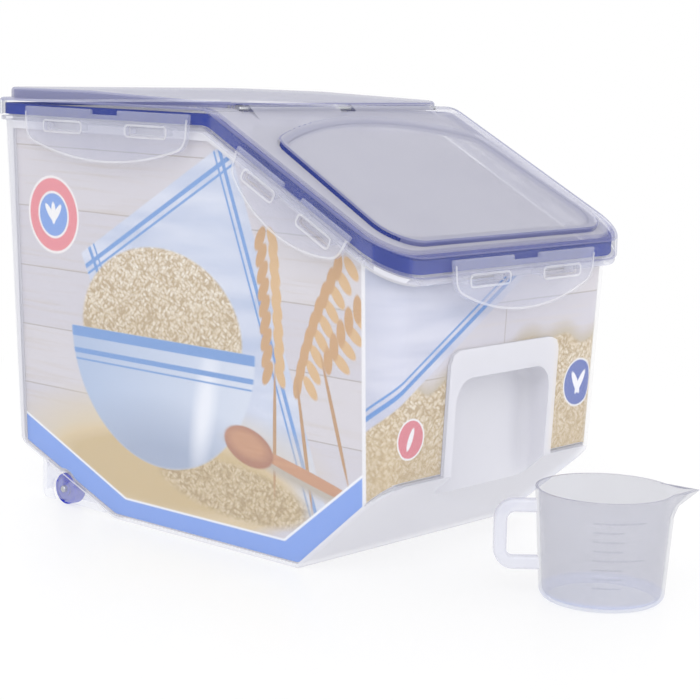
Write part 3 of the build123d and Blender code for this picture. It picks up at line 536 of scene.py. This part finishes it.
# share of a place that lies past a straight line, with a soft edge
def edgeGroup():
    group, given = newGroup("straightEdge", "ShaderNodeTree",
                            {"Place": "Vector", "Point": "Vector", "Facing": "Vector", "Soft": "Float"},
                            ("Share", "Float"))
    away = addNode(group, "ShaderNodeVectorMath", {0: given["Place"], 1: given["Point"]},
                   operation="SUBTRACT")
    reach = addNode(group, "ShaderNodeVectorMath", {0: away.outputs[0], 1: given["Facing"]},
                    operation="DOT_PRODUCT")
    low = addNode(group, "ShaderNodeMath", {0: given["Soft"], 1: -1.0}, operation="MULTIPLY")
    share = addNode(group, "ShaderNodeMapRange", {"Value": reach.outputs["Value"],
                                                  "From Min": low.outputs[0], "From Max": given["Soft"]})
    addNode(group, "NodeGroupOutput", {0: share.outputs[0]})
    return group


ovalShape = ovalGroup()
straightEdge = edgeGroup()

# the picture's sizes in millimetres, along the wall from the middle of the front and up. An oval is its
# centre, its two radii, its turn in degrees, how soft its outline is as a share of its radii, and its colour
picture = {
    "lineSoft": 0.4,
    "boardHigh": 36.0, "boardLong": 420.0, "joint": 0.5, "jointSoft": 0.6,
    "streaks": (0.012, 0.35, 0), "streakFrom": 0.52, "streakTo": 0.8, "streakMost": 0.5,
    "grains": (0.33, 0.62, 0), "grainTurns": (28, -47), "grainFrom": 0.3, "grainTo": 0.75,
    "bedScale": 0.18, "bedFrom": 0.47, "bedTo": 0.53, "driftScale": 0.025,
    # each hem of the folded cloth: a point on it, and which way the cloth lies
    "cloth": (((205, 226), (-0.5, -0.87)), ((176, 150), (0.94, -0.34)), ((330, 160), (-0.9, 0.44)),
              ((240, 20), (0.1, 1.0))),
    "clothSoft": 0.6, "stripedHems": 3, "stripes": ((7, 9.6), (12, 13.4)),
    "foldTurn": 28, "folds": (0.01, 0.06, 1), "foldFrom": 0.35, "foldTo": 0.65,
    "tableTop": (((268, 46), (112, 30), 2, 0.3, "#D9CBB0"), ((262, 32), (106, 30), 2, 0.08, "#DCC79C"),
                 ((258, 36), (92, 21), 2, 0.12, "#CDB47E")),
    "spilt": ((205, 34), (58, 15), -4, 0.12), "heap": ((262, 116), (66, 48), 0, 0.015),
    "heapDark": (158.0, 104.0, 0.55),
    "bowl": ((262, 112), (76, 74), 0, 0.012), "bowlRim": (262, 112), "bowlSides": (190.0, 335.0),
    "bowlFoot": ((262, 36), (70, 30), 0, 0.5), "bowlShine": ((226, 78), (7, 30), -12, 0.6),
    "bands": ((106, 113), (96, 99), (92, 93)),
    # each ear: its root, its lean in degrees, and how many pairs of seeds it has
    "ears": (((150, 60), 14, 9), ((172, 64), -2, 9), ((128, 76), 26, 7)),
    "earRise": 40, "seedStep": 9.0, "seedLean": 0.09, "seedAside": 4.6, "seed": (3.1, 7.4), "seedTurn": 24,
    "seedSoft": 0.12, "stalkRise": 8, "stalk": (1.3, 34), "stalkLean": 0.6, "stalkSoft": 0.2,
    "spoonShade": ((150, 49), (50, 5), -13, 0.4), "spoonHandle": ((150, 52), (48, 3.4), -13, 0.1),
    "spoonBowl": ((192, 61), (19, 10.5), -13, 0.05), "spoonHollow": ((193, 62.5), (15, 7), -13, 0.3),
    "ring": (((352, 176), (23, 23), 0, 0.02, "#F4F1F1"), ((352, 176), (21.5, 21.5), 0, 0.02, "#E8808A"),
             ((352, 176), (14, 14), 0, 0.03, "#F4F1F1"), ((352, 176), (12.6, 12.6), 0, 0.03, "#6C9BE2"),
             ((348.92, 177), (2, 6.5), -38, 0.1, "#F7F7F7"), ((352, 177), (2, 6.5), 0, 0.1, "#F7F7F7"),
             ((355.08, 177), (2, 6.5), 38, 0.1, "#F7F7F7")),
    # the lower border: its edges from the front to the back, for the white line and for the picture inside it
    "whiteInside": (((164.7, 13.7), (48.3, 60.9)), ((200, 13.2), (0, 1)), ((316.8, 22.6), (-9.9, 22.9))),
    "allInside": (((165.4, 14.9), (48.3, 60.9)), ((200, 14.4), (0, 1)), ((316.4, 24.0), (-9.9, 22.9))),
    # the front sheet
    "slump": (0.02, 0, 0), "slumpDrop": 30.0, "slope": (0.16, -1), "heapShade": ((0, 118), 5.0),
    "heapTop": ((0, 113), 1.2), "deep": (96.0, 56.0, 0.5),
    "hung": (((-46, 120), (-0.527, 0.85)), ((28, 150), (-1, 0.3))),
    "hungStripes": ((4.25, 6.8), (8.92, 10.2)),
    "roundMarks": (((-74, 78), (11, 11), 0, 0.03, "#F2F2F4"), ((-74, 78), (10, 10), 0, 0.03, "#D9707C"),
                   ((-74, 78), (1.8, 6.2), 20, 0.1, "#F2F2F4"), ((72, 92), (14, 14), 0, 0.03, "#F2F2F4"),
                   ((72, 92), (13, 13), 0, 0.03, "#3658B0"), ((69.88, 92), (2.1, 7.6), -32, 0.1, "#F7F7FA"),
                   ((74.12, 92), (2.1, 7.6), 32, 0.1, "#F7F7FA")),
    "frontEnd": 107.5, "fold": (106.6, 109.2),
    "roughness": 0.42, "coat": 0.3, "coatRoughness": 0.2,
}


# printed card: smooth coated paper in flat inks. Its front sheet ends at the bends, where a white fold shows
def printedCard():
    material, tree = newMaterial("printedCard")
    uv = addNode(tree, "ShaderNodeUVMap", uv_map="roundTheBend").outputs[0]
    flat = addNode(tree, "ShaderNodeVectorMath", {0: uv, 1: (1 / mm, 1 / mm, 0)},
                   operation="MULTIPLY").outputs[0]
    along, height, _ = addNode(tree, "ShaderNodeSeparateXYZ", {0: flat}).outputs
    fromFront = addNode(tree, "ShaderNodeMath", {0: along}, operation="ABSOLUTE").outputs[0]
    side = addNode(tree, "ShaderNodeCombineXYZ", {0: fromFront, 1: height}).outputs[0]

    def oval(place, centre, radii, turn, soft):
        return addNode(tree, "ShaderNodeGroup", {"Place": place, "Centre": (*centre, 0), "Radii": (*radii, 1),
                                                 "Turn": math.radians(turn), "Soft": soft},
                       node_tree=ovalShape).outputs[0]

    def edge(place, point, facing, soft=picture["lineSoft"]):
        length = math.hypot(*facing)
        return addNode(tree, "ShaderNodeGroup",
                       {"Place": place, "Point": (*point, 0), "Soft": soft,
                        "Facing": (facing[0] / length, facing[1] / length, 0)},
                       node_tree=straightEdge).outputs[0]

    # the two edges of a stripe that lies from begin to end past a point
    def stripe(place, point, facing, begin, end):
        near, far = ([p + f * past for p, f in zip(point, facing)] for past in (begin, end))
        return edge(place, near, facing), edge(place, far, [-f for f in facing])

    # lays a colour over what is below it, where all the shares meet
    def lay(below, colour, *shares):
        below, colour = (linearColour(c) if isinstance(c, str) else c for c in (below, colour))
        meeting = shares[0]
        for share in shares[1:]:
            meeting = addNode(tree, "ShaderNodeMath", {0: meeting, 1: share}, operation="MULTIPLY").outputs[0]
        return addNode(tree, "ShaderNodeMix", {0: meeting, 6: below, 7: colour}, data_type="RGBA").outputs[2]

    def layOvals(below, place, rows):
        for *shape, colour in rows:
            below = lay(below, colour, oval(place, *shape))
        return below

    # whitewashed boards, lying
    boards = addNode(tree, "ShaderNodeTexBrick",
                     {"Vector": side, "Color1": linearColour("#CFCCD5"), "Color2": linearColour("#D8D4D8"),
                      "Mortar": linearColour("#B2AAA8"), "Scale": 1.0, "Mortar Size": picture["joint"],
                      "Mortar Smooth": picture["jointSoft"], "Brick Width": picture["boardLong"],
                      "Row Height": picture["boardHigh"], "Bias": 0.0}).outputs["Color"]
    streakPlace = addNode(tree, "ShaderNodeVectorMath", {0: side, 1: picture["streaks"]},
                          operation="MULTIPLY")
    streak = addNode(tree, "ShaderNodeTexNoise", {"Vector": streakPlace.outputs[0], "Scale": 1.0,
                                                  "Detail": 4.0}).outputs["Fac"]
    streakShare = addNode(tree, "ShaderNodeMapRange", {"Value": streak, "From Min": picture["streakFrom"],
                                                       "From Max": picture["streakTo"],
                                                       "To Max": picture["streakMost"]}).outputs[0]
    sides = lay(boards, "#C2B3A0", streakShare)

    # rice: two beds of grains 3 mm long and 1.6 mm wide, lying in two directions
    wander = addNode(tree, "ShaderNodeTexNoise", {"Vector": flat, "Scale": picture["bedScale"],
                                                  "Detail": 1.0})
    bedPick = addNode(tree, "ShaderNodeMapRange", {"Value": wander.outputs["Fac"],
                                                   "From Min": picture["bedFrom"],
                                                   "From Max": picture["bedTo"]}).outputs[0]
    reaches, tones = [], []
    for turn in picture["grainTurns"]:
        swung = addNode(tree, "ShaderNodeVectorRotate", {"Vector": flat, "Angle": math.radians(turn)},
                        rotation_type="Z_AXIS")
        squeezed = addNode(tree, "ShaderNodeVectorMath", {0: swung.outputs[0], 1: picture["grains"]},
                           operation="MULTIPLY")
        bed = addNode(tree, "ShaderNodeTexVoronoi", {"Vector": squeezed.outputs[0], "Scale": 1.0}).outputs
        reaches.append(bed["Distance"])
        tones.append(addNode(tree, "ShaderNodeSeparateColor", {0: bed["Color"]}).outputs[0])
    reach = addNode(tree, "ShaderNodeMix", {0: bedPick, 2: reaches[0], 3: reaches[1]}).outputs[0]
    pick = addNode(tree, "ShaderNodeMix", {0: bedPick, 2: tones[0], 3: tones[1]}).outputs[0]
    gaps = addNode(tree, "ShaderNodeMapRange", {"Value": reach, "From Min": picture["grainFrom"],
                                                "From Max": picture["grainTo"]}).outputs[0]
    rice = lay(lay("#F4EEE2", "#E0D0B2", pick), "#BFA77E", gaps)
    shadowRice = lay(lay("#DDCCA8", "#CBB486", pick), "#AE9460", gaps)

    # folded tea cloth with a pair of stripes along its hems, lying under everything
    cloth = [edge(side, point, facing, picture["clothSoft"]) for point, facing in picture["cloth"]]
    foldPlace = addNode(tree, "ShaderNodeMapping",
                        {"Vector": side, "Rotation": (0, 0, math.radians(picture["foldTurn"])),
                         "Scale": picture["folds"]}).outputs[0]
    folds = addNode(tree, "ShaderNodeTexNoise", {"Vector": foldPlace, "Scale": 1.0, "Detail": 3.0})
    foldShade = addNode(tree, "ShaderNodeMapRange", {"Value": folds.outputs["Fac"],
                                                     "From Min": picture["foldFrom"],
                                                     "From Max": picture["foldTo"]}).outputs[0]
    sides = lay(sides, lay("#B9C6E0", "#D9DFEE", foldShade), *cloth)
    for point, facing in picture["cloth"][:picture["stripedHems"]]:
        for begin, end in picture["stripes"]:
            sides = lay(sides, "#5C94D6", *cloth, *stripe(side, point, facing, begin, end))

    # table top, spilt rice, heaped bowl
    sides = layOvals(sides, side, picture["tableTop"])
    sides = lay(sides, shadowRice, oval(side, *picture["spilt"]))
    heap = oval(side, *picture["heap"])
    sides = lay(sides, rice, heap)
    top, foot, most = picture["heapDark"]
    lowHeap = addNode(tree, "ShaderNodeMapRange", {"Value": height, "From Min": top, "From Max": foot,
                                                   "To Max": most}).outputs[0]
    sides = lay(sides, shadowRice, heap, lowHeap)
    bowl = oval(side, *picture["bowl"]), edge(side, picture["bowlRim"], (0, -1))
    near, far = picture["bowlSides"]
    bowlSide = addNode(tree, "ShaderNodeMapRange", {"Value": fromFront, "From Min": near,
                                                    "From Max": far}).outputs[0]
    sides = lay(sides, lay("#D6DEEC", "#A9BEDD", bowlSide), *bowl)
    sides = lay(sides, "#9CABC6", *bowl, oval(side, *picture["bowlFoot"]))
    sides = lay(sides, "#EDF1F9", *bowl, oval(side, *picture["bowlShine"]))
    for low, high in picture["bands"]:
        sides = lay(sides, "#5B93D4", *bowl, *stripe(side, (0, 0), (0, 1), low, high))

    # ears of grain: pairs of seeds up a bent stalk
    for (rootX, rootZ), lean, count in picture["ears"]:
        for number in range(count):
            bend = math.radians(lean * (1 + number * picture["seedLean"]))
            x = rootX - math.sin(bend) * number * picture["seedStep"]
            z = rootZ + picture["earRise"] + math.cos(bend) * number * picture["seedStep"]
            for hand, colour in ((-1, "#D9B177"), (1, "#C99A5B")):
                seed = oval(side, (x + hand * picture["seedAside"], z), picture["seed"],
                            lean - hand * picture["seedTurn"], picture["seedSoft"])
                sides = lay(sides, colour, seed)
        stalk = oval(side, (rootX, rootZ + picture["stalkRise"]), picture["stalk"],
                     lean * picture["stalkLean"], picture["stalkSoft"])
        sides = lay(sides, "#B98B50", stalk)

    # wooden spoon lying at the foot of the ears, coral ring with a blue middle and three white seeds
    wood = lay("#B8794A", "#D39C68", streak)
    for shape, colour in (("spoonShade", "#B9AE9F"), ("spoonHandle", wood), ("spoonBowl", "#A8673A"),
                          ("spoonHollow", wood)):
        sides = lay(sides, colour, oval(side, *picture[shape]))
    sides = layOvals(sides, side, picture["ring"])

    # blue band along the lower edge, with a thin white line inside it
    white, within = ([edge(side, *line) for line in picture[name]] for name in ("whiteInside", "allInside"))
    sides = lay(lay("#6E9CEB", "#F6F8FC", *white), sides, *within)

    # the front sheet: a heap of rice on pale boards under a striped tea cloth, and two round marks
    front = lay(boards, "#D8CDBF", streakShare)
    slump = addNode(tree, "ShaderNodeVectorMath", {0: flat, 1: picture["slump"]}, operation="MULTIPLY")
    slump = addNode(tree, "ShaderNodeTexNoise", {"Vector": slump.outputs[0], "Scale": 1.0, "Detail": 1.0})
    drop = addNode(tree, "ShaderNodeMapRange", {"Value": slump.outputs["Fac"],
                                                "To Min": -picture["slumpDrop"],
                                                "To Max": picture["slumpDrop"]}).outputs[0]
    dropped = addNode(tree, "ShaderNodeMath", {0: height, 1: drop}, operation="ADD").outputs[0]
    heapPlace = addNode(tree, "ShaderNodeCombineXYZ", {0: along, 1: dropped}).outputs[0]
    drift = addNode(tree, "ShaderNodeTexNoise", {"Vector": flat, "Scale": picture["driftScale"],
                                                 "Detail": 2.0}).outputs["Fac"]
    for (point, soft), colour in ((picture["heapShade"], "#BDAE92"),
                                  (picture["heapTop"], lay(rice, shadowRice, drift))):
        front = lay(front, colour, edge(heapPlace, point, picture["slope"], soft))
    top, foot, most = picture["deep"]
    deep = addNode(tree, "ShaderNodeMapRange", {"Value": height, "From Min": top, "From Max": foot,
                                                "To Max": most}).outputs[0]
    front = lay(front, "#C4AC7C", deep)
    hung = [edge(flat, point, facing, picture["clothSoft"]) for point, facing in picture["hung"]]
    front = lay(front, lay("#BCC1D6", "#D6D8E6", foldShade), *hung)
    for begin, end in picture["hungStripes"]:
        front = lay(front, "#3F86CF", *hung, *stripe(flat, *picture["hung"][0], begin, end))
    front = layOvals(front, flat, picture["roundMarks"])

    whole = lay(sides, front, edge(side, (picture["frontEnd"], 0), (-1, 0)))
    whole = lay(whole, "#F1F1F4", *stripe(side, (0, 0), (1, 0), *picture["fold"]))
    shader = addNode(tree, "ShaderNodeBsdfPrincipled",
                     {"Base Color": whole, "Roughness": picture["roughness"],
                      "Coat Weight": picture["coat"], "Coat Roughness": picture["coatRoughness"]})
    addNode(tree, "ShaderNodeOutputMaterial", {"Surface": shader.outputs[0]})
    return material


board = {"fibres": 900.0, "detail": 3.0, "roughness": 0.75}


# back of the card: uncoated white board, matt with short fibres
def cardBack():
    material, tree = newMaterial("whiteBoard")
    place = addNode(tree, "ShaderNodeTexCoord").outputs["Object"]
    fibre = addNode(tree, "ShaderNodeTexNoise", {"Vector": place, "Scale": board["fibres"],
                                                 "Detail": board["detail"]})
    tone = addNode(tree, "ShaderNodeMix", {0: fibre.outputs["Fac"], 6: linearColour("#E9E7E4"),
                                           7: linearColour("#F6F5F3")}, data_type="RGBA")
    shader = addNode(tree, "ShaderNodeBsdfPrincipled", {"Base Color": tone.outputs[2],
                                                        "Roughness": board["roughness"]})
    addNode(tree, "ShaderNodeOutputMaterial", {"Surface": shader.outputs[0]})
    return material


def cardSheet():
    piece = joinedCopy("printed_card", "cardSheet")
    mesh = piece.data
    back, printed = 0, 1
    mesh.materials.append(cardBack())
    mesh.materials.append(printedCard())
    for face in mesh.polygons:
        outward = Vector((face.center.x, face.center.y, 0))
        if abs(face.center.x) > card["bendX"] + card["pastBend"]:
            outward.y = min(outward.y - card["bendY"], 0)
        isPrinted = face.normal.dot(outward) > 0 and abs(face.normal.z) < card["level"]
        face.material_index = printed if isPrinted else back
    places = mesh.uv_layers.new(name="roundTheBend")
    for loop in mesh.loops:
        spot = mesh.vertices[loop.vertex_index].co
        places.data[loop.index].uv = (roundTheBend(spot.x, spot.y), spot.z)
    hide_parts("printed_card")
    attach(piece, "tub")


cardSheet()
print("card printed")

# floor, sky, lamps and camera
studio = {
    "floorColour": "#F7F7F9", "floorColourTwo": "#FCFCFD", "floorHalf": 6.0, "floorRough": 0.3, "mottle": 6.0,
    # share of the floor's light that is plain white near the object; further away it is all white
    "nearWhite": 0.72, "fadeFrom": 0.2, "fadeTo": 0.6,
    "skyLight": 0.8, "lampAim": Vector((0, 0, 0.12)),
    "lamps": (  # place, size, watts
        ((-1.6, -1.2, 1.7), 1.4, 20),
        ((0.9, -1.9, 0.9), 1.2, 8),
        ((0.3, 1.4, 1.9), 1.2, 10),
    ),
    "clearLayers": 32,
}
camera = {
    "place": (-0.8018, -0.7617, 0.2710), "turn": (81.4065, -1.4071, -47.9194),
    "sensor": 36, "lens": 96.709, "shift": (-0.00196, -0.0102), "nearest": 0.01, "farthest": 50,
}


def paleFloor():
    material, tree = newMaterial("paleFloor")
    place = addNode(tree, "ShaderNodeTexCoord").outputs["Object"]
    mottle = addNode(tree, "ShaderNodeTexNoise", {"Vector": place, "Scale": studio["mottle"]})
    tone = addNode(tree, "ShaderNodeMix", {0: mottle.outputs["Fac"], 6: linearColour(studio["floorColour"]),
                                           7: linearColour(studio["floorColourTwo"])}, data_type="RGBA")
    shader = addNode(tree, "ShaderNodeBsdfPrincipled", {"Base Color": tone.outputs[2],
                                                        "Roughness": studio["floorRough"]})
    away = addNode(tree, "ShaderNodeVectorMath", {0: place}, operation="LENGTH")
    fade = addNode(tree, "ShaderNodeMapRange",
                   {"Value": away.outputs["Value"], "From Min": studio["fadeFrom"],
                    "From Max": studio["fadeTo"], "To Min": studio["nearWhite"], "To Max": 1.0})
    glow = addNode(tree, "ShaderNodeEmission", {"Color": (1, 1, 1, 1), "Strength": 1.0})
    mixed = addNode(tree, "ShaderNodeMixShader", {0: fade.outputs[0], 1: shader.outputs[0],
                                                  2: glow.outputs[0]})
    addNode(tree, "ShaderNodeOutputMaterial", {"Surface": mixed.outputs[0]})
    return material


def makeFloor():
    half = studio["floorHalf"]
    mesh = bpy.data.meshes.new("studioFloor")
    mesh.from_pydata([(-half, -half, 0), (half, -half, 0), (half, half, 0), (-half, half, 0)], [],
                     [(0, 1, 2, 3)])
    mesh.materials.append(paleFloor())
    addObject("studioFloor", mesh)


# white where it is seen, and dimmer where it lights the object
def makeSky():
    world = bpy.data.worlds.new("studioSky")
    world.use_nodes = True
    tree = world.node_tree
    tree.nodes.clear()
    rays = addNode(tree, "ShaderNodeLightPath").outputs
    seen = rays["Is Camera Ray"]
    for kind in ("Is Glossy Ray", "Is Transmission Ray"):
        seen = addNode(tree, "ShaderNodeMath", {0: seen, 1: rays[kind]}, operation="MAXIMUM").outputs[0]
    strength = addNode(tree, "ShaderNodeMapRange", {"Value": seen, "To Min": studio["skyLight"],
                                                    "To Max": 1.0})
    sky = addNode(tree, "ShaderNodeBackground", {"Color": (1, 1, 1, 1), "Strength": strength.outputs[0]})
    addNode(tree, "ShaderNodeOutputWorld", {"Surface": sky.outputs[0]})
    bpy.context.scene.world = world


def makeLamps():
    for number, (place, size, watts) in enumerate(studio["lamps"]):
        lamp = bpy.data.lights.new(f"softBox{number}", "AREA")
        lamp.shape = "SQUARE"
        lamp.size = size
        lamp.energy = watts
        holder = addObject(f"softBox{number}", lamp)
        holder.location = place
        holder.rotation_euler = (Vector(place) - studio["lampAim"]).to_track_quat("Z", "Y").to_euler()


def makeCamera():
    lens = bpy.data.cameras.new("photoCamera")
    lens.sensor_width = camera["sensor"]
    lens.lens = camera["lens"]
    lens.shift_x, lens.shift_y = camera["shift"]
    lens.clip_start, lens.clip_end = camera["nearest"], camera["farthest"]
    holder = addObject("photoCamera", lens)
    holder.location = camera["place"]
    holder.rotation_euler = [math.radians(a) for a in camera["turn"]]
    scene = bpy.context.scene
    scene.camera = holder
    scene.view_settings.view_transform = "Standard"
    scene.cycles.transparent_max_bounces = studio["clearLayers"]


makeFloor()
makeSky()
makeLamps()
makeCamera()
print("floor, sky, lamps and camera placed")
